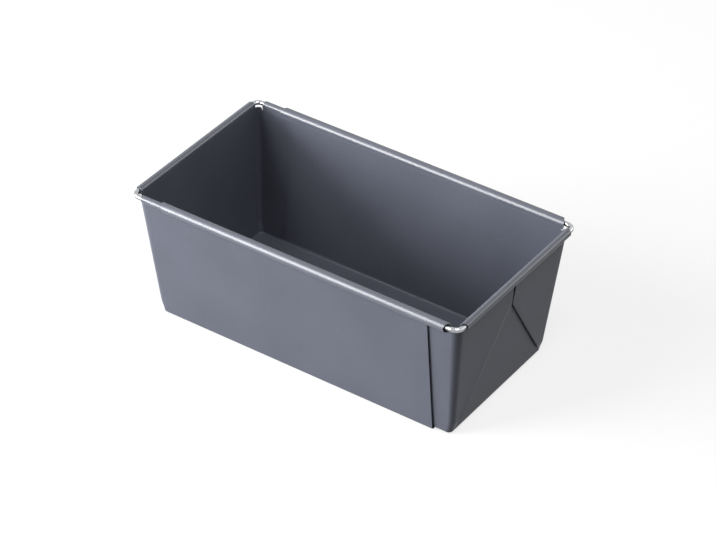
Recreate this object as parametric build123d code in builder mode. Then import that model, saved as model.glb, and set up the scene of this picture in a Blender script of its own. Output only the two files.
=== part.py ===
from build123d import *
from math import asin, atan2, cos, hypot, radians, sin, tan
import os

# Extendable loaf pan: two trays of folded, coated steel sheet, each stiffened by a wire
# in its curled rim. The inner tray slides in the outer one along X, its long curls
# running over the outer tray's. The model is the closed pan, in millimetres. The origin
# is on the table under the pan's centre, +X is towards the sliding end, and +Z is up.

# Sheet and wire
sheet = 0.45                    # thickness of the coated sheet
wire_diameter = 2.7
wire_bend_radius = 4.0          # of the wire's centreline, at the rim's corners
wire_clearance = 0.06           # between the wire and the curl rolled round it

# Overall form, set by the rim wires' centrelines
rim_length = 199.6
rim_width = 107.6
rim_height = 77.0
end_taper = 18.2                # by how much the floor is shorter than the rim
side_taper = 19.6               # by how much the floor is narrower than the rim

# Curled edges
end_curl_radius = 2.15          # outside radius of the curls over the end walls
slide_clearance = 0.4           # between the outer tray's long curls and the inner's
outer_curl_wrap = 300           # degrees of turn, from the wall round the wire
inner_curl_wrap = 285           # degrees, fewer so that the outer tray's wall passes the lip
outer_curl_bevel = 20           # degrees off square at the ends of the outer tray's curls
inner_curl_bevel = 28           # the same on the inner tray
curl_root_drop = 2.9            # from the wire's centreline down to the relief cuts

# How far each curl stops short of the crossing of the wires' centrelines
outer_long_gap = 5.8
outer_end_gap = 4.9
inner_long_gap = 6.0
inner_end_gap = 5.2

# Nesting of the trays
side_clearance = 0.6            # between the trays' side walls, at the table
floor_clearance = 0.2           # between the trays' floors

# Folds and upright corners, as radii
outer_fold_radius = 1.0         # inside the fold from floor to wall, outer tray
inner_fold_radius = 1.7         # the same on the inner tray
corner_radius_low = 2.8         # outside, at the table
corner_radius_high = 4.5        # outside, under the rim

# Where the sheets end along X, on the closed pan
outer_edge_inset = 19.4         # from the inner tray's end of the rim to the outer's edge
inner_edge_inset = 25.7         # from the outer tray's end of the rim to the inner's edge
inner_curl_overhang = 6.9       # how far the inner tray's long curls reach past its edge
stop_gap = 0.3                  # from the outer curls' ends to the inner wire's ends

# Gussets folded flat on the outside of each end wall
gusset_peak = 60.0              # height at which the two folded edges meet
gusset_foot_inset = 1.9         # from the floor's side edge to a folded edge's foot
gusset_gap_low = 0.5            # between the gussets' cut edges, at the peak
gusset_gap_high = 2.6           # the same, under the rim

overrun = 3.0                   # how far a cutting shape reaches past what it cuts

# Sizes that follow from the ones above
wire_radius = wire_diameter / 2
outer_curl_radius = wire_radius + wire_clearance + sheet
inner_curl_radius = outer_curl_radius + slide_clearance + sheet
curl_root = rim_height - curl_root_drop
inner_base = sheet + floor_clearance
half_length = rim_length / 2
half_width = rim_width / 2
floor_length = rim_length - end_taper
floor_width = rim_width - side_taper
outer_tray_edge = half_length - outer_edge_inset
inner_tray_edge = inner_edge_inset - half_length
inner_curl_end = inner_tray_edge - inner_curl_overhang


class WallFace:
    """One flat face of a wall: its foot on the table, and its lean outwards."""

    def __init__(self, foot, lean):
        self.foot = foot
        self.lean = lean

    def at(self, height):
        """Distance of the face from the pan's middle at that height."""
        return self.foot + height * tan(self.lean)

    def shifted(self, depth):
        """The parallel face that lies depth further out."""
        return WallFace(self.foot + depth / cos(self.lean), self.lean)


def face_past_wire(foot, rim_half, distance):
    """A face from foot on the table that passes a rim wire's centreline at distance."""
    run = rim_half - foot
    lean = atan2(run, rim_height) - asin(distance / hypot(run, rim_height))
    return WallFace(foot, lean)


# Outside faces of the walls. The gusset faces lie over the end walls: the layers bunch
# together at the foot, and stand two sheets proud under the rim.
end_wall = face_past_wire(floor_length / 2, half_length, end_curl_radius - sheet)
gusset = face_past_wire(
    floor_length / 2 + sheet, half_length, end_curl_radius - 3 * sheet
)
outer_side = face_past_wire(floor_width / 2, half_width, outer_curl_radius - sheet)
inner_side = face_past_wire(
    outer_side.shifted(-sheet).foot - side_clearance,
    half_width,
    inner_curl_radius - sheet,
)


def tapered_block(end, side, base, corner_inset, fold):
    """A solid block from base up to the curls' roots, between the end and side faces,
    with rounded upright corners and a rounded lower edge."""
    top = curl_root + sheet
    with BuildPart() as block:
        for height, radius in ((base, corner_radius_low), (top, corner_radius_high)):
            with BuildSketch(Plane.XY.offset(height)):
                RectangleRounded(
                    2 * end.at(height), 2 * side.at(height), radius - corner_inset
                )
        loft(ruled=True)
        fillet(block.faces().sort_by(Axis.Z)[0].edges(), fold)
    return block.part


def folded_shell(side, base, fold):
    """The floor, the side walls and both end walls with their gussets, up to the
    curls' roots. The gussets are doubled sheet, two layers over the end wall."""
    wide = tapered_block(gusset, side, base, 0, fold + sheet)
    plain = tapered_block(end_wall, side, base, 0, fold + sheet)
    hollow = tapered_block(
        end_wall.shifted(-sheet), side.shifted(-sheet), base + sheet, 2 * sheet, fold
    )
    foot = side.at(0) - gusset_foot_inset
    low = gusset_gap_low / 2
    high = gusset_gap_high / 2
    top = curl_root + overrun
    with BuildPart() as recess:
        with BuildSketch(Plane.YZ.offset(-half_length)):
            with BuildLine():
                Polyline(
                    (-foot, -overrun),
                    (-foot, base),
                    (-low, gusset_peak),
                    (-high, top),
                    (high, top),
                    (low, gusset_peak),
                    (foot, base),
                    (foot, -overrun),
                    close=True,
                )
            make_face()
        extrude(amount=rim_length)
        add(plain, mode=Mode.SUBTRACT)
    with BuildPart() as shell:
        add(wide)
        add(recess.part, mode=Mode.SUBTRACT)
        add(hollow, mode=Mode.SUBTRACT)
    return shell.part


def curled_edge(plane, length, way, rim_half, outside, radius, wrap):
    """A wall's top and the curl that it runs into, as long as length from plane, which
    holds their section: up the wall, round the wire, and back along the curl's inner
    face. way is +1 or -1, the side of the pan that the wall stands on."""
    inside = outside.shifted(-sheet)
    lean = outside.lean
    lip = radius - sheet

    def on_curl(r, turn):
        """The point at radius r from the wire's centre, turn degrees from the wall."""
        back = r * cos(radians(turn))
        up = r * sin(radians(turn))
        across = rim_half - back * cos(lean) + up * sin(lean)
        height = rim_height + back * sin(lean) + up * cos(lean)
        return way * across, height

    with BuildPart() as edge:
        with BuildSketch(plane):
            with BuildLine():
                Line((way * outside.at(curl_root), curl_root), on_curl(lip, 0))
                ThreePointArc(
                    on_curl(lip, 0), on_curl(lip, wrap / 2), on_curl(lip, wrap)
                )
                Line(on_curl(lip, wrap), on_curl(radius, wrap))
                ThreePointArc(
                    on_curl(radius, wrap), on_curl(radius, wrap / 2), on_curl(radius, 0)
                )
                Polyline(
                    on_curl(radius, 0),
                    (way * inside.at(curl_root), curl_root),
                    (way * outside.at(curl_root), curl_root),
                )
            make_face()
        extrude(amount=length)
    return edge.part


def bevelled(edge, axis_end, along, outward, bevel):
    """A curled edge cut off at axis_end, a point of its wire's centreline. along points
    off that end. The bevel leaves the inner side of the curl the longest."""
    facing = along * cos(radians(bevel)) + outward * sin(radians(bevel))
    with BuildPart() as cut:
        add(edge)
        split(bisect_by=Plane(origin=axis_end, z_dir=facing), keep=Keep.BOTTOM)
    return cut.part


def end_edge(end_way, gap, bevel):
    """The curled edge over an end wall."""
    edge = curled_edge(
        Plane.XZ.offset(-half_width), rim_width, end_way,
        half_length, end_wall, end_curl_radius, outer_curl_wrap,
    )
    for way in (1, -1):
        axis_end = Vector(end_way * half_length, way * (half_width - gap))
        edge = bevelled(edge, axis_end, Vector(0, way), Vector(end_way, 0), bevel)
    return edge


def rim_wire(end_way, leg_end):
    """A wire bent to a U: across one end of the pan and back along both sides."""
    corner_x = end_way * half_length
    with BuildPart() as wire:
        with BuildLine(Plane.XY.offset(rim_height)) as route:
            FilletPolyline(
                (leg_end, -half_width),
                (corner_x, -half_width),
                (corner_x, half_width),
                (leg_end, half_width),
                radius=wire_bend_radius,
            )
        with BuildSketch(Plane(origin=route.line @ 0, z_dir=route.line % 0)):
            Circle(wire_radius)
        sweep()
    return wire.part


# Outer tray: closed at -X, open at +X, and the one that stands on the table
outer_shell = folded_shell(outer_side, 0, outer_fold_radius)
with BuildPart() as outer_tray:
    add(outer_shell)
    split(bisect_by=Plane.YZ.offset(outer_tray_edge), keep=Keep.BOTTOM)
    for way in (1, -1):
        edge = curled_edge(
            Plane.YZ.offset(-half_length), half_length + outer_tray_edge, way,
            half_width, outer_side, outer_curl_radius, outer_curl_wrap,
        )
        closed_end = Vector(outer_long_gap - half_length, way * half_width)
        add(bevelled(edge, closed_end, Vector(-1, 0), Vector(0, way), outer_curl_bevel))
    add(end_edge(-1, outer_end_gap, outer_curl_bevel))
outer_tray.part.label = "outer_tray"

# Wire in the outer tray's rim, as long as its curls
with BuildPart() as outer_rim_wire:
    add(rim_wire(-1, outer_tray_edge))
outer_rim_wire.part.label = "outer_rim_wire"

# Inner tray: closed at +X, open at -X, where its long curls reach past its walls
inner_shell = folded_shell(inner_side, inner_base, inner_fold_radius)
with BuildPart() as inner_tray:
    add(inner_shell)
    split(bisect_by=Plane.YZ.offset(inner_tray_edge), keep=Keep.TOP)
    for way in (1, -1):
        edge = curled_edge(
            Plane.YZ.offset(inner_curl_end - overrun),
            half_length - inner_curl_end + overrun, way,
            half_width, inner_side, inner_curl_radius, inner_curl_wrap,
        )
        closed_end = Vector(half_length - inner_long_gap, way * half_width)
        free_end = Vector(inner_curl_end, way * half_width)
        outward = Vector(0, way)
        edge = bevelled(edge, closed_end, Vector(1, 0), outward, inner_curl_bevel)
        add(bevelled(edge, free_end, Vector(-1, 0), outward, inner_curl_bevel))
    add(end_edge(1, inner_end_gap, inner_curl_bevel))
inner_tray.part.label = "inner_tray"

# Wire in the inner tray's rim: its legs stop short of the outer tray's curls
with BuildPart() as inner_rim_wire:
    add(rim_wire(1, outer_tray_edge + stop_gap))
inner_rim_wire.part.label = "inner_rim_wire"

os.makedirs("parts", exist_ok=True)
export_step(outer_tray.part, "parts/outer_tray.step")
export_step(outer_rim_wire.part, "parts/outer_rim_wire.step")
export_step(inner_tray.part, "parts/inner_tray.step")
export_step(inner_rim_wire.part, "parts/inner_rim_wire.step")
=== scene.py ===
import bmesh
import bpy
import math
import numpy as np
from mathutils import Matrix, Vector


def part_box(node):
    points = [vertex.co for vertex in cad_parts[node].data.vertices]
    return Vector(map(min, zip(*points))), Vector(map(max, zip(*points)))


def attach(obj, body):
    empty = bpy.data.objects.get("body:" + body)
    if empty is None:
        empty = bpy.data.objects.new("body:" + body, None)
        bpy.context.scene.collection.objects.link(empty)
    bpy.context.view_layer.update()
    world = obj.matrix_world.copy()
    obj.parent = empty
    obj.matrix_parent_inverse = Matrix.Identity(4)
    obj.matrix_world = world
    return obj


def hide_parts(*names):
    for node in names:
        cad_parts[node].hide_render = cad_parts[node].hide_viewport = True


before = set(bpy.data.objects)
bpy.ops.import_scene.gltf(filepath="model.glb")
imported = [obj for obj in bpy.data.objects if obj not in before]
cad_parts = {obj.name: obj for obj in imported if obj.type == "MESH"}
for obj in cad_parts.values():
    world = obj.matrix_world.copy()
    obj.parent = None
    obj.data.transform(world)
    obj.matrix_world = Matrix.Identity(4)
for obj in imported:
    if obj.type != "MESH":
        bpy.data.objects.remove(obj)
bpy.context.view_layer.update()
print("frame loaded:", ", ".join(sorted(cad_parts)))

mm = 0.001                       # the shapes below are worked out in millimetres


def boxOf(node):
    # A node's lowest and highest corner, in millimetres
    low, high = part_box(node)
    return np.array(low) / mm, np.array(high) / mm


# The rim wires' centrelines, read from the frame, are what both trays are drawn round
wireLow, wireHigh = boxOf("outer_rim_wire")
wireThickness = wireHigh[2] - wireLow[2]
rim = {
    "wireRadius": wireThickness / 2,
    "height": (wireHigh[2] + wireLow[2]) / 2,
    "halfLength": -wireLow[0] - wireThickness / 2,
    "halfWidth": wireHigh[1] - wireThickness / 2,
}

blank = {
    "sheet": 0.45,               # thickness
    "halfFloorLength": 90.7,
    "halfFloorWidth": 44.0,
    "curlRoot": 74.1,            # height up to which the corners are cut for the curls
    "endCurlRadius": 2.14,
    "cornerRadiusLow": 2.8,      # outside radius of the upright corners, at the foot
    "cornerRadiusHigh": 4.5,     # the same, under the rim
    "cornerRise": 1.5,           # height of a hump in the corners' edge, under the wires
    "humpRiseShare": 0.2,        # shares of the corner's turn: over which the hump rises,
    "humpFallShare": 0.35,       # over which it falls,
    "humpEndShare": 0.85,        # and where it is down again
    "floorMeetShare": 0.8,       # share of the half width, from the end wall to where the
                                 # floor's end columns meet on the middle line
    "layerPitch": 0.47,          # spacing of the gussets' layers
    "gussetPeak": 60.0,          # height where the two folded edges meet
    "gussetFootInset": 1.9,
    "gussetGapLow": 0.5,         # slot between the gussets, at the peak and under the rim
    "gussetGapHigh": 2.6,
    "gussetSpring": 0.3,         # how far a gusset's folded edge stands off the wall
    "gussetOpening": 5.0,        # width over which the layers spread from the foot
}

outerTray = {
    "name": "outer_tray_sheet",
    "node": "outer_tray",
    "body": "outer_tray",
    "closedEnd": -1,             # which end has the wall
    "base": 0.0,                 # underside of the floor
    "fold": 1.0,                 # inside radius from floor to wall
    "sideInset": 0.0,            # side walls' outside face, in from the floor's width
    "curlRadius": 1.86,          # outside radius of the long curls
    "longWrap": 300,             # degrees round the wire
    "endWrap": 300,
    "bevel": 20,                 # degrees off square at the curls' ends
    "longGap": 5.8,              # curls' ends, back from the wires' crossing
    "endGap": 4.9,
    "openEdge": 80.4,
    "overhang": 0.0,             # how far the long curls reach past the open edge
}

innerTray = {
    "name": "inner_tray_sheet",
    "node": "inner_tray",
    "body": "inner_tray",
    "closedEnd": 1,
    "base": 0.65,
    "fold": 1.7,
    "sideInset": 1.053,
    "curlRadius": 2.7,
    "longWrap": 285,
    "endWrap": 300,
    "bevel": 28,
    "longGap": 6.0,
    "endGap": 5.2,
    "openEdge": -74.1,
    "overhang": 6.9,
}

steps = {
    "floor": 8,
    "fold": 8,
    "wallLow": 14,               # wall rows up to spreadHeight, where the gussets open
    "wallMiddle": 18,            # from there to the gussets' peak
    "wallHigh": 6,               # from the peak to the curls' root
    "spreadHeight": 12.0,
    "strip": 2,                  # from the root to where the curl starts
    "curl": 36,
    "overhang": 4,
    "side": 44,
    "relief": 1,
    "bend": 16,
    "gusset": 12,
    "foldedEdge": 8,
    "underLayer": 6,
    "cornerTurn": 6,
    "end": 26,
}


def smoothStep(x):
    # From 0 to 1 with a soft start and end: three times the square less twice the cube
    x = np.clip(x, 0, 1)
    return x * x * (3 - 2 * x)


def leanPast(foot, rimHalf, distance):
    # Lean of a straight line from foot on the table that passes the wire's axis, on its
    # inner side, at distance
    run = rimHalf - foot
    toAxis = math.hypot(run, rim["height"])
    return math.atan2(run, rim["height"]) - math.asin(distance / toAxis)


def wallProfile(faceFoot, rimHalf, curlRadius, wrap, tray):
    # Section through a wall along the middle of its sheet: an arc up from the floor, a
    # straight run that leans outwards, and an arc round the wire. Each row has its
    # distance from the pan's middle, its height, and the sheet's normal, which points
    # away from the inside of the pan
    sheet = blank["sheet"]
    lean = leanPast(faceFoot, rimHalf, curlRadius - sheet)
    foot = faceFoot - sheet / 2 / math.cos(lean)
    foldRadius = tray["fold"] + sheet / 2
    foldHeight = tray["base"] + sheet / 2 + foldRadius
    foldOut = foot + foldHeight * math.tan(lean) - foldRadius / math.cos(lean)
    turn = np.linspace(0, math.pi / 2 - lean, steps["fold"] + 1)
    out = foldOut + foldRadius * np.sin(turn)
    height = foldHeight - foldRadius * np.cos(turn)
    normalOut, normalUp = np.sin(turn), -np.cos(turn)

    low, root = height[-1], blank["curlRoot"]
    levels = np.concatenate((
        np.linspace(low, steps["spreadHeight"], steps["wallLow"] + 1)[1:],
        np.linspace(steps["spreadHeight"], blank["gussetPeak"], steps["wallMiddle"] + 1)[1:],
        np.linspace(blank["gussetPeak"], root, steps["wallHigh"] + 1)[1:],
    ))
    curl = curlRadius - sheet / 2
    tangentHeight = rim["height"] + curl * math.sin(lean)
    levels = np.append(levels, np.linspace(root, tangentHeight, steps["strip"] + 1)[1:-1])
    straight = foot + levels * math.tan(lean)

    around = np.radians(np.linspace(0, wrap, steps["curl"] + 1))
    radialOut = -np.cos(around) * math.cos(lean) + np.sin(around) * math.sin(lean)
    radialUp = np.cos(around) * math.sin(lean) + np.sin(around) * math.cos(lean)
    flat = np.ones(len(levels))
    return {
        "out": np.concatenate((out, straight, rimHalf + curl * radialOut)),
        "height": np.concatenate((height, levels, rim["height"] + curl * radialUp)),
        "normalOut": np.concatenate((normalOut, flat * math.cos(lean), -radialOut)),
        "normalUp": np.concatenate((normalUp, -flat * math.sin(lean), -radialUp)),
        "foldEnd": out[-1],
        "slope": math.tan(lean),
    }


def span(start, end, count, first=False):
    # Evenly spaced columns from start to end, row by row. The start is left out where it
    # is the last column of the stretch before
    share = np.linspace(0, 1, count + 1)
    return start + (end - start) * (share if first else share[1:])


def trayHalf(tray):
    # One half of a tray's sheet, as rows up the walls by columns along the blank: down
    # the side from the open edge, round the corner on to the gusset's outer layer, round
    # its folded edge, back along its under layer, round the corner turn, and along the
    # end wall to the middle. Lengths run towards the closed end
    sheet, pitch = blank["sheet"], blank["layerPitch"]
    side = wallProfile(blank["halfFloorWidth"] - tray["sideInset"], rim["halfWidth"],
                       tray["curlRadius"], tray["longWrap"], tray)
    end = wallProfile(blank["halfFloorLength"], rim["halfLength"],
                      blank["endCurlRadius"], tray["endWrap"], tray)
    measures = ("out", "height", "normalOut", "normalUp")
    sideOut, sideUp, sideNormal, sideNormalUp = (side[name][:, None] for name in measures)
    endOut, endUp, endNormal, endNormalUp = (end[name][:, None] for name in measures)
    rows = len(sideOut)
    rootRow = steps["fold"] + steps["wallLow"] + steps["wallMiddle"] + steps["wallHigh"]
    peakRow = rootRow - steps["wallHigh"]
    row = np.arange(rows)[:, None]
    onCurl = row > rootRow

    # Upright corner: its radius grows up the wall, and shrinks with the fold at the foot
    rise = np.clip(endUp / blank["curlRoot"], 0, 1)
    low, high = blank["cornerRadiusLow"], blank["cornerRadiusHigh"]
    bend = low + (high - low) * rise - sheet / 2
    bend = bend - np.clip(side["foldEnd"] - sideOut, 0, bend - sheet / 2) * (row <= steps["fold"])

    # Edge of the gusset: a line from the foot to the peak, then the side of the slot
    climb = (endUp - tray["base"]) / (blank["gussetPeak"] - tray["base"])
    gapLow, gapHigh = blank["gussetGapLow"] / 2, blank["gussetGapHigh"] / 2
    foot = blank["halfFloorWidth"] - tray["sideInset"] - blank["gussetFootInset"]
    diagonal = foot + (gapLow - foot) * climb
    pastPeak = (endUp - blank["gussetPeak"]) / (blank["curlRoot"] - blank["gussetPeak"])
    edge = np.where(row > peakRow, gapLow + (gapHigh - gapLow) * pastPeak,
                    diagonal + sheet / 2 + pitch / 2)
    cornerY = sideOut - bend
    opening = smoothStep((cornerY - edge) / blank["gussetOpening"]) * (row > steps["fold"])
    layers = 2 * pitch * opening     # from the end wall out to the gusset's outer layer
    turnRadius = layers / 4
    edge = np.minimum(edge, cornerY)
    cornerX = endOut + layers - bend
    width = np.maximum(cornerY - edge, sheet)

    # The corner turn fits under the outer layer's bend
    inside = (bend - sheet / 2) ** 2 - np.clip(bend - 3 * layers / 4, 0, None) ** 2
    reach = np.sqrt(np.clip(inside, 0, None)) - turnRadius - sheet / 2
    turnY = cornerY + np.clip(reach, 0, None) * opening

    # Curls: their ends are bevelled, longest on the inner side
    slope = math.tan(math.radians(tray["bevel"]))
    longEnd = rim["halfLength"] - tray["longGap"] + slope * (rim["halfWidth"] - sideOut)
    endEnd = rim["halfWidth"] - tray["endGap"] + slope * (rim["halfLength"] - endOut)
    attachX = np.where(onCurl, longEnd, cornerX - sheet)
    attachY = np.where(onCurl, endEnd, turnY - sheet)
    openX = tray["openEdge"] * tray["closedEnd"]
    freeX = openX - tray["overhang"] - slope * (rim["halfWidth"] - sideOut)

    xs, ys, zs, nxs, nys, nzs = [], [], [], [], [], []

    def lay(x, y, z, nx, ny, nz):
        for store, value in zip((xs, ys, zs, nxs, nys, nzs), (x, y, z, nx, ny, nz)):
            store.append(np.broadcast_to(value, np.broadcast_shapes(x.shape, y.shape)))

    def sidePart(x):
        lay(x, sideOut, sideUp, 0 * sideOut, sideNormal, sideNormalUp)

    marks = {}
    flatEdge = openX + 0 * sideOut
    if tray["overhang"]:
        sidePart(span(freeX, flatEdge, steps["overhang"], first=True))
        marks["open"] = steps["overhang"]
        sidePart(span(flatEdge, attachX, steps["side"]))
    else:
        marks["open"] = 0
        sidePart(span(flatEdge, attachX, steps["side"], first=True))
    marks["longEnd"] = marks["open"] + steps["side"]
    sidePart(span(attachX, cornerX, steps["relief"]))

    # Round the corner the sheet's edge rises in a low hump between the curls' ends
    phi = np.linspace(0, math.pi / 2, steps["bend"] + 1)[None, 1:]
    share = phi / phi[0, -1]
    hump = (smoothStep(share / blank["humpRiseShare"])
            * smoothStep((blank["humpEndShare"] - share) / blank["humpFallShare"]))
    rise = (blank["cornerRise"] * hump
            * np.clip((row - peakRow) / (rootRow - peakRow), 0, 1))
    normal = sideNormal + (endNormal - sideNormal) * share
    lay(cornerX + bend * np.sin(phi) + rise * end["slope"],
        cornerY + bend * np.cos(phi) + rise * side["slope"],
        sideUp + (endUp - sideUp) * share + rise, normal * np.sin(phi),
        normal * np.cos(phi), sideNormalUp + (endNormalUp - sideNormalUp) * share)

    spring = blank["gussetSpring"] * opening

    def sprung(y):
        return spring * ((cornerY - y) / width).clip(0, 1) ** 2

    y = span(cornerY, edge, steps["gusset"])
    lay(endOut + layers + sprung(y), y, endUp, endNormal, 0 * y, endNormalUp)

    # Where the layers haven't spread yet, everything up to the end wall is one point,
    # and so has one normal
    spread = opening > 0
    psi = np.linspace(0, math.pi, steps["foldedEdge"] + 1)[None, 1:]
    cosine, sine = np.cos(psi), np.sin(psi)
    lay(endOut + layers * 3 / 4 + sprung(edge) + turnRadius * cosine, edge - turnRadius * sine,
        endUp, np.where(spread, endNormal * cosine, endNormal),
        np.where(spread, -sine, 0), np.where(spread, endNormalUp * cosine, endNormalUp))
    marks["foldStart"] = marks["longEnd"] + steps["relief"] + steps["bend"] + steps["gusset"]
    marks["foldEnd"] = marks["foldStart"] + steps["foldedEdge"]

    y = span(edge, turnY, steps["underLayer"])
    back = np.where(spread, -1, 1)
    lay(endOut + layers / 2 + sprung(y), y, endUp, back * endNormal + 0 * y, 0 * y,
        back * endNormalUp + 0 * y)

    psi = np.linspace(0, math.pi, steps["cornerTurn"] + 1)[None, 1:]
    cosine, sine = np.cos(psi), np.sin(psi)
    lay(endOut + layers / 4 + turnRadius * cosine, turnY + turnRadius * sine, endUp,
        np.where(spread, -endNormal * cosine, endNormal), np.where(spread, -sine, 0),
        np.where(spread, -endNormalUp * cosine, endNormalUp))

    y = span(turnY, attachY, steps["relief"])
    lay(endOut, y, endUp, endNormal, 0 * y, endNormalUp)
    marks["endEnd"] = (marks["foldEnd"] + steps["underLayer"] + steps["cornerTurn"]
                       + steps["relief"])
    y = span(attachY, 0 * attachY, steps["end"])
    lay(endOut, y, endUp, endNormal, 0 * y, endNormalUp)

    point = np.stack([np.concatenate(a, axis=1) for a in (xs, ys, zs)], axis=-1)
    normal = np.stack([np.concatenate(a, axis=1) for a in (nxs, nys, nzs)], axis=-1)

    # Layers that are still running together are thinned, so that they don't show
    half = np.full(point.shape[:2], sheet / 2)
    inner = slice(marks["foldStart"] + 1, marks["endEnd"] - steps["relief"])
    half[:, inner] *= np.where(spread, opening, 1)

    # Floor: each column runs straight on to the pan's middle line
    start = point[:1]
    reach = start[..., :1].max() - openX
    apex = start[..., 0].max() - start[..., 1].max() * blank["floorMeetShare"]
    target = start.copy()
    target[..., 1] = 0
    target[..., 0] = openX + (start[..., 0] - openX) * (apex - openX) / reach
    share = np.linspace(1, 0, steps["floor"] + 1)[:-1, None, None]
    floor = start + (target - start) * share
    down = np.broadcast_to(np.array((0.0, 0.0, -1.0)), floor.shape)
    half = np.concatenate((np.full(floor.shape[:2], sheet / 2), half))
    point = np.concatenate((floor, point))
    normal = np.concatenate((down, normal))
    marks["rootRow"] = rootRow + steps["floor"]
    marks["peakRow"] = peakRow + steps["floor"]
    return point, normal, half, marks


def thickMesh(name, point, normal, half, present, closedStart):
    # A sheet with thickness from a grid of middle points: one grid is moved out along the
    # normals and one in, and a rim joins them wherever a present cell meets an absent one
    rows, columns = point.shape[:2]
    outside = point + normal * half[..., None]
    inside = point - normal * half[..., None]
    index = np.arange(rows * columns).reshape(rows, columns)
    other = index + rows * columns

    def cells(grid, flip):
        corners = (grid[:-1, :-1], grid[:-1, 1:], grid[1:, 1:], grid[1:, :-1])
        quads = np.stack(corners, axis=-1)[present]
        return quads[:, ::-1] if flip else quads

    across = outside[:-1, 1:] - outside[:-1, :-1]
    up = outside[1:, :-1] - outside[:-1, :-1]
    facing = (np.cross(across, up) * normal[:-1, :-1]).sum(axis=-1)[present].sum()
    flip = facing < 0
    faces = [cells(index, flip), cells(other, not flip)]

    def rimFaces(a, b, begins):
        # a to b is the edge on the outside grid; begins says that the cells lie after it
        first, second = (a, b) if begins != flip else (b, a)
        faces.append(np.stack((second, first, first + rows * columns,
                               second + rows * columns), axis=-1))

    wide = np.pad(present, ((0, 0), (1, 1))).astype(int)
    change = np.diff(wide, axis=1)
    for begins in (True, False):
        r, c = np.nonzero(change == (1 if begins else -1))
        rimFaces(index[r + 1, c], index[r, c], begins)
    tall = np.pad(present, ((1, 1), (0, 0))).astype(int)
    if closedStart:
        tall[0] = tall[1]
    change = np.diff(tall, axis=0)
    for begins in (True, False):
        r, c = np.nonzero(change == (1 if begins else -1))
        rimFaces(index[r, c], index[r, c + 1], begins)

    faces = np.concatenate(faces)
    vertices = np.concatenate((outside.reshape(-1, 3), inside.reshape(-1, 3))) * mm
    used, compact = np.unique(faces, return_inverse=True)
    mesh = bpy.data.meshes.new(name)
    mesh.from_pydata(vertices[used].tolist(), [], compact.reshape(faces.shape).tolist())
    return mesh


meshFinish = {
    "creaseAngle": 38,           # degrees; edges that turn further stay sharp
    "weldDistance": 0.0005,      # mm
}


def addObject(name, mesh, material, body, node):
    piece = bpy.data.objects.new(name, mesh)
    bpy.context.scene.collection.objects.link(piece)
    mesh.materials.append(material)
    mesh.polygons.foreach_set("use_smooth", np.ones(len(mesh.polygons), dtype=bool))
    mesh.set_sharp_from_angle(angle=math.radians(meshFinish["creaseAngle"]))
    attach(piece, body)
    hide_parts(node)
    return piece


def weld(mesh, turnOutward=False):
    # Merges the points that fall together, and can then turn the faces outwards
    work = bmesh.new()
    work.from_mesh(mesh)
    bmesh.ops.remove_doubles(work, verts=work.verts, dist=meshFinish["weldDistance"] * mm)
    if turnOutward:
        bmesh.ops.recalc_face_normals(work, faces=work.faces)
    work.to_mesh(mesh)
    work.free()
    mesh.update()


def makeTray(tray, material):
    point, normal, half, marks = trayHalf(tray)
    mirror = np.array((1, -1, 1))
    point = np.concatenate((point, point[:, -2::-1] * mirror), axis=1)
    normal = np.concatenate((normal, normal[:, -2::-1] * mirror), axis=1)
    half = np.concatenate((half, half[:, -2::-1]), axis=1)
    point[..., 0] *= tray["closedEnd"]
    normal[..., 0] *= tray["closedEnd"]

    rows, columns = point.shape[0] - 1, (point.shape[1] - 1) // 2
    row = np.arange(rows)[:, None]
    column = np.arange(columns)[None, :]
    onCurl = row >= marks["rootRow"]
    curled = (column < marks["longEnd"]) | (column >= marks["endEnd"])
    cutEdge = (column >= marks["foldStart"]) & (column < marks["foldEnd"])
    present = np.where(onCurl, curled, column >= marks["open"])
    present &= ~(cutEdge & (row >= marks["peakRow"]))
    present = np.concatenate((present, present[:, ::-1]), axis=1)

    mesh = thickMesh(tray["name"], point, normal, half, present, closedStart=True)
    weld(mesh)
    piece = addObject(tray["name"], mesh, material, tray["body"], tray["node"])
    print(tray["name"], len(mesh.polygons), "faces")


# Rim wires
wires = {
    "bendRadius": 4.0,           # of the centreline, at the rim's corners
    "chamfer": 0.25,
    "sides": 40,
    "bendSteps": 20,
    "legSteps": 12,
    "innerLegEnd": 80.7,         # where the inner tray's wire stops, short of the curls
}


def wirePath(closedEnd, legEnd):
    # Down one leg, a quarter circle, across the end, a quarter circle, and back
    radius = wires["bendRadius"]
    cornerX, cornerY = rim["halfLength"], rim["halfWidth"]
    turn = np.linspace(0, math.pi / 2, wires["bendSteps"] + 1)
    leg = np.linspace(legEnd * closedEnd, cornerX - radius, wires["legSteps"] + 1)[:-1]
    first = np.concatenate((
        np.stack((leg, np.full(len(leg), cornerY)), axis=-1),
        np.stack((cornerX - radius + radius * np.sin(turn),
                  cornerY - radius + radius * np.cos(turn)), axis=-1),
    ))
    path = np.concatenate((first, first[::-1] * (1, -1)))
    path[:, 0] *= closedEnd
    return path


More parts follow.
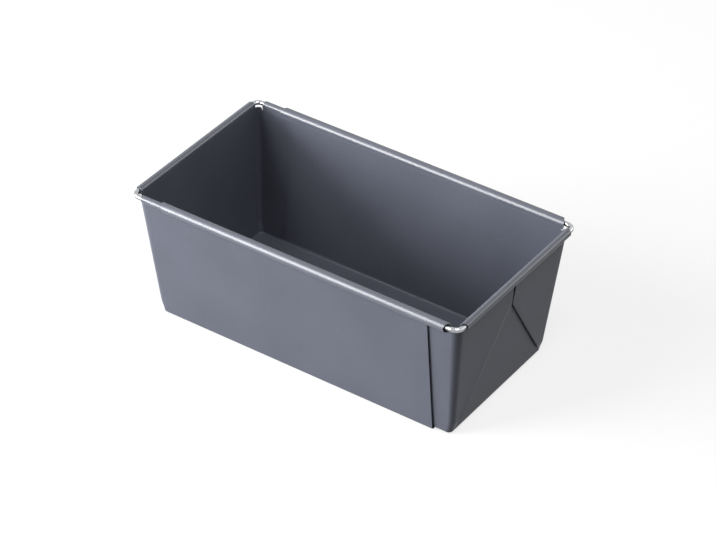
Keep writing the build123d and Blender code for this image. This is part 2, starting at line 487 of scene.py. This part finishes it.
def makeWire(name, node, body, closedEnd, legEnd, material):
    # A circle carried along a flat path, square to it, with chamfered ends closed by a
    # middle point
    path = wirePath(closedEnd, legEnd)
    chamfer = wires["chamfer"]
    along = np.gradient(path, axis=0)
    along /= np.linalg.norm(along, axis=1)[:, None]
    start, end = path[:1], path[-1:]
    path = np.concatenate((start, start, start + chamfer * along[:1], path[1:-1],
                           end - chamfer * along[-1:], end, end))
    along = np.concatenate((along[:1], along[:1], along[:1], along[1:-1],
                            along[-1:], along[-1:], along[-1:]))
    radius = np.full(len(path), rim["wireRadius"])
    radius[[1, -2]] -= chamfer
    radius[[0, -1]] = 0
    angle = np.linspace(0, 2 * math.pi, wires["sides"], endpoint=False)
    sideways = np.stack((-along[:, 1], along[:, 0]), axis=-1)
    ring = radius[:, None, None]
    flat = path[:, None, :] + ring * np.cos(angle)[None, :, None] * sideways[:, None, :]
    height = rim["height"] + radius[:, None] * np.sin(angle)[None, :]
    vertices = np.concatenate((flat, height[..., None]), axis=-1)
    rings, sides = vertices.shape[:2]
    index = np.arange(rings * sides).reshape(rings, sides)
    following = np.roll(index, -1, axis=1)
    quads = np.stack((index[:-1], index[1:], following[1:], following[:-1]), axis=-1)
    mesh = bpy.data.meshes.new(name)
    mesh.from_pydata((vertices.reshape(-1, 3) * mm).tolist(), [],
                     quads.reshape(-1, 4).tolist())
    length = np.append(0, np.cumsum(np.linalg.norm(np.diff(path, axis=0), axis=1)))
    corner = quads.reshape(-1)
    turned = (corner % sides) / sides + (np.tile((0, 0, 1, 1), len(corner) // 4)
                                         * (corner % sides == 0))
    uv = np.stack((length[corner // sides] * mm, turned), axis=-1)
    mesh.uv_layers.new(name="along").data.foreach_set("uv", uv.ravel())
    weld(mesh, turnOutward=True)
    piece = addObject(name, mesh, material, body, node)
    print(name, len(mesh.polygons), "faces")


# Materials
def linear(hexColour):
    # sRGB hex to linear light, with an alpha of 1
    value = [int(hexColour[i:i + 2], 16) / 255 for i in (1, 3, 5)]
    return [c / 12.92 if c <= 0.04045 else ((c + 0.055) / 1.055) ** 2.4 for c in value] + [1]


def newMaterial(name):
    material = bpy.data.materials.new(name)
    material.use_nodes = True
    tree = material.node_tree
    tree.nodes.clear()
    return material, tree


def addNode(tree, kind, settings=None, **inputs):
    # An input is named as its socket is, with _ for a space, or as _ and its number
    node = tree.nodes.new(kind)
    for key, value in (settings or {}).items():
        setattr(node, key, value)
    for key, value in inputs.items():
        number = key[1:]
        socket = node.inputs[int(number) if number.isdigit() else key.replace("_", " ")]
        if isinstance(value, bpy.types.NodeSocket):
            tree.links.new(value, socket)
        else:
            socket.default_value = value
    return node


coating = {
    "deep": "#50535d",
    "pale": "#5b5e69",
    "deepAt": 0.3,               # noise values at which the two tints are full
    "paleAt": 0.7,
    "grainShare": 0.5,           # of the grain in the tint, beside the patches
    "ior": 1.45,                 # of the baked silicone polyester film
    "shine": 0.2,                # specular level of the flat film
    "rolledShine": 0.9,          # the same on the curls, which the rollers burnished
    "rolledFrom": 75.2,          # mm, heights between which the burnishing comes in
    "rolledTo": 76.6,
    "rolledSmoothing": 0.03,     # how much less rough the curls are
    "roughness": 0.3,
    "roughnessSpread": 0.04,
    "patchSize": 45,             # mm, slow drift in the sprayed film
    "grainSize": 0.7,            # mm; real grit is finer, drawn as coarse as it shows
    "peelSize": 1.6,             # mm, the orange peel of a baked film
    "peelDepth": 0.012,          # mm
}


def coatedSteel():
    # Non-stick coating, sprayed and baked on steel sheet: a dark grey film with a fine
    # metallic grain. To the eye it is satin, a little mottled, with soft wide highlights,
    # and it shines more on the curls
    material, tree = newMaterial("nonstick_coated_steel")
    place = addNode(tree, "ShaderNodeTexCoord").outputs["Object"]
    patch = addNode(tree, "ShaderNodeTexNoise", Vector=place, Detail=2.0,
                    Scale=1 / (coating["patchSize"] * mm))
    grain = addNode(tree, "ShaderNodeTexNoise", Vector=place, Detail=3.0,
                    Scale=1 / (coating["grainSize"] * mm))
    peel = addNode(tree, "ShaderNodeTexNoise", Vector=place, Detail=1.0,
                   Scale=1 / (coating["peelSize"] * mm))
    both = addNode(tree, "ShaderNodeMix", {"data_type": "FLOAT"},
                   _0=coating["grainShare"],
                   _2=patch.outputs["Fac"], _3=grain.outputs["Fac"])
    tint = addNode(tree, "ShaderNodeValToRGB", Fac=both.outputs["Result"])
    ramp = tint.color_ramp.elements
    ramp[0].position, ramp[1].position = coating["deepAt"], coating["paleAt"]
    ramp[0].color, ramp[1].color = linear(coating["deep"]), linear(coating["pale"])
    rough = addNode(tree, "ShaderNodeMapRange", Value=patch.outputs["Fac"])
    rough.inputs["To Min"].default_value = coating["roughness"] - coating["roughnessSpread"]
    rough.inputs["To Max"].default_value = coating["roughness"] + coating["roughnessSpread"]
    height = addNode(tree, "ShaderNodeSeparateXYZ", Vector=place).outputs["Z"]
    rolled = addNode(tree, "ShaderNodeMapRange", {"interpolation_type": "SMOOTHSTEP"},
                     Value=height)
    rolled.inputs["From Min"].default_value = coating["rolledFrom"] * mm
    rolled.inputs["From Max"].default_value = coating["rolledTo"] * mm
    shine = addNode(tree, "ShaderNodeMath", {"operation": "MULTIPLY_ADD"},
                    _0=rolled.outputs["Result"], _1=coating["rolledShine"] - coating["shine"],
                    _2=coating["shine"])
    smoother = addNode(tree, "ShaderNodeMath", {"operation": "MULTIPLY_ADD"},
                       _0=rolled.outputs["Result"], _1=-coating["rolledSmoothing"],
                       _2=rough.outputs["Result"])
    bump = addNode(tree, "ShaderNodeBump", Height=peel.outputs["Fac"], Strength=1.0,
                   Distance=coating["peelDepth"] * mm)
    shader = addNode(tree, "ShaderNodeBsdfPrincipled", Base_Color=tint.outputs["Color"],
                     Roughness=smoother.outputs[0], IOR=coating["ior"],
                     Specular_IOR_Level=shine.outputs[0], Normal=bump.outputs["Normal"])
    addNode(tree, "ShaderNodeOutputMaterial", Surface=shader.outputs["BSDF"])
    return material


wireFinish = {
    "colour": "#b6b7ba",
    "roughness": 0.14,
    "drawnLine": 0.12,           # mm between drawing marks; coarser than real, to show
    "drawnLength": 6.0,          # mm
    "drawnDepth": 0.002,         # mm
}


def drawnSteel():
    # Bright steel wire pulled through a die and plated: nearly a mirror, with faint
    # lines along its length
    material, tree = newMaterial("bright_drawn_steel_wire")
    place = addNode(tree, "ShaderNodeTexCoord").outputs["UV"]
    girth = 2 * math.pi * rim["wireRadius"] / wireFinish["drawnLine"]
    stretched = addNode(tree, "ShaderNodeMapping", Vector=place)
    stretched.inputs["Scale"].default_value = (1 / (wireFinish["drawnLength"] * mm), girth, 1)
    lines = addNode(tree, "ShaderNodeTexNoise", Vector=stretched.outputs["Vector"],
                    Scale=1.0, Detail=2.0)
    bump = addNode(tree, "ShaderNodeBump", Height=lines.outputs["Fac"], Strength=1.0,
                   Distance=wireFinish["drawnDepth"] * mm)
    shader = addNode(tree, "ShaderNodeBsdfPrincipled", Base_Color=linear(wireFinish["colour"]),
                     Metallic=1.0, Roughness=wireFinish["roughness"],
                     Normal=bump.outputs["Normal"])
    addNode(tree, "ShaderNodeOutputMaterial", Surface=shader.outputs["BSDF"])
    return material


coated = coatedSteel()
bright = drawnSteel()
makeTray(outerTray, coated)
makeTray(innerTray, coated)
makeWire("outer_rim_wire_drawn", "outer_rim_wire", "outer_tray", -1,
         outerTray["openEdge"], bright)
makeWire("inner_rim_wire_drawn", "inner_rim_wire", "inner_tray", 1,
         wires["innerLegEnd"], bright)
print("pan made")

# Floor, world and lamps
studio = {
    "floorSize": 6.0,
    "floorDrop": 0.05,           # mm under the pan
    "floorColour": "#8c8c8c",
    "floorGlow": 0.74,           # what the camera sees added, so that the floor is white
    "floorMirrored": 0.4,        # the same in reflections
    "skyDiffuse": 0.03,
}


def makeFloor():
    # A matt floor that takes the pan's shadow, with a glow for the camera and a weaker
    # one in reflections
    size = studio["floorSize"] / 2
    height = -studio["floorDrop"] * mm
    mesh = bpy.data.meshes.new("floor")
    corners = [(-size, -size, height), (size, -size, height), (size, size, height),
               (-size, size, height)]
    mesh.from_pydata(corners, [], [(0, 1, 2, 3)])
    floor = bpy.data.objects.new("floor", mesh)
    bpy.context.scene.collection.objects.link(floor)
    material, tree = newMaterial("pale_studio_floor")
    path = addNode(tree, "ShaderNodeLightPath").outputs
    direct = addNode(tree, "ShaderNodeMath", {"operation": "MAXIMUM"},
                     _0=path["Is Camera Ray"], _1=path["Is Transmission Ray"])
    direct = addNode(tree, "ShaderNodeMath", {"operation": "MULTIPLY"},
                     _0=direct.outputs[0], _1=studio["floorGlow"])
    mirrored = addNode(tree, "ShaderNodeMath", {"operation": "MULTIPLY"},
                       _0=path["Is Glossy Ray"], _1=studio["floorMirrored"])
    strength = addNode(tree, "ShaderNodeMath", {"operation": "MAXIMUM"},
                       _0=direct.outputs[0], _1=mirrored.outputs[0])
    matt = addNode(tree, "ShaderNodeBsdfDiffuse", Color=linear(studio["floorColour"]))
    glow = addNode(tree, "ShaderNodeEmission", Strength=strength.outputs[0])
    lit = addNode(tree, "ShaderNodeAddShader", _0=matt.outputs[0], _1=glow.outputs[0])
    addNode(tree, "ShaderNodeOutputMaterial", Surface=lit.outputs[0])
    mesh.materials.append(material)


def makeWorld():
    # White to the camera and in reflections, and a plain dimmer sky as a light
    world = bpy.data.worlds.new("studio")
    bpy.context.scene.world = world
    world.use_nodes = True
    tree = world.node_tree
    tree.nodes.clear()
    path = addNode(tree, "ShaderNodeLightPath").outputs
    seen = addNode(tree, "ShaderNodeMath", {"operation": "MAXIMUM"},
                   _0=path["Is Camera Ray"], _1=path["Is Transmission Ray"])
    seen = addNode(tree, "ShaderNodeMath", {"operation": "MAXIMUM"},
                   _0=seen.outputs[0], _1=path["Is Glossy Ray"])
    dim = addNode(tree, "ShaderNodeBackground", Strength=studio["skyDiffuse"])
    white = addNode(tree, "ShaderNodeBackground", Strength=1.0)
    white.inputs["Color"].default_value = (1, 1, 1, 1)
    dim.inputs["Color"].default_value = (1, 1, 1, 1)
    mixed = addNode(tree, "ShaderNodeMixShader", _0=seen.outputs[0], _1=dim.outputs[0],
                    _2=white.outputs[0])
    addNode(tree, "ShaderNodeOutputWorld", Surface=mixed.outputs[0])


def direction(azimuth, elevation):
    # From the pan towards a lamp or the camera. Azimuth 0 is in front of the pan and 90
    # past its sliding end, in degrees
    turned, raised = math.radians(azimuth), math.radians(elevation)
    return Vector((math.sin(turned) * math.cos(raised),
                   -math.cos(turned) * math.cos(raised), math.sin(raised)))


# Softboxes, in metres and watts. The strip draws the bright lines along the curls
lamps = {
    "key": {"azimuth": -58, "elevation": 13, "distance": 1.2, "width": 0.8, "height": 0.6,
            "power": 33},
    "strip": {"azimuth": -30, "elevation": 26, "distance": 1.2, "width": 0.35, "height": 1.1,
              "power": 13},
    "side": {"azimuth": 112, "elevation": 28, "distance": 1.3, "width": 0.8, "height": 0.6,
             "power": 1.3},
    "rear": {"azimuth": 150, "elevation": 20, "distance": 1.3, "width": 0.8, "height": 0.6,
             "power": 2.8},
    "top": {"azimuth": 65, "elevation": 70, "distance": 1.2, "width": 0.4, "height": 0.4,
            "power": 6},
}


def makeLamp(name, lamp):
    data = bpy.data.lights.new(name, "AREA")
    data.shape = "RECTANGLE"
    data.size, data.size_y = lamp["width"], lamp["height"]
    data.energy = lamp["power"]
    back = direction(lamp["azimuth"], lamp["elevation"])
    light = bpy.data.objects.new(name, data)
    light.rotation_mode = "QUATERNION"
    light.rotation_quaternion = (-back).to_track_quat("-Z", "Y")
    light.location = back * lamp["distance"]
    bpy.context.scene.collection.objects.link(light)


# Camera, from the photograph's perspective: it looks at a point over the pan's middle
view = {
    "azimuth": 34.17,            # degrees, as are the next two
    "elevation": 36.52,
    "roll": 0.78,
    "distance": 1645.3,          # mm
    "right": 3.73,               # mm, aim off the origin, in the picture's plane
    "up": 31.59,
    "focalPixels": 3128,
    "framePixels": 716,
    "sensorWidth": 36,           # mm
    "nearest": 0.05,             # metres, the stretch that the camera sees
    "furthest": 50,
}


def makeCamera():
    back = direction(view["azimuth"], view["elevation"])
    right = (-back).cross(Vector((0, 0, 1))).normalized()
    up = right.cross(-back)
    tilt = Matrix.Rotation(math.radians(view["roll"]), 3, back)
    right, up = tilt @ right, tilt @ up
    data = bpy.data.cameras.new("camera")
    data.sensor_width = view["sensorWidth"]
    data.lens = data.sensor_width * view["focalPixels"] / view["framePixels"]
    data.clip_start, data.clip_end = view["nearest"], view["furthest"]
    camera = bpy.data.objects.new("camera", data)
    place = right * view["right"] + up * view["up"] + back * view["distance"]
    turned = Matrix((right, up, back)).transposed().to_4x4()
    camera.matrix_world = Matrix.Translation(place * mm) @ turned
    bpy.context.scene.collection.objects.link(camera)
    bpy.context.scene.camera = camera


makeFloor()
makeWorld()
for lampName, lampValues in lamps.items():
    makeLamp(lampName, lampValues)
makeCamera()
bpy.context.scene.view_settings.view_transform = "Standard"
print("studio made")
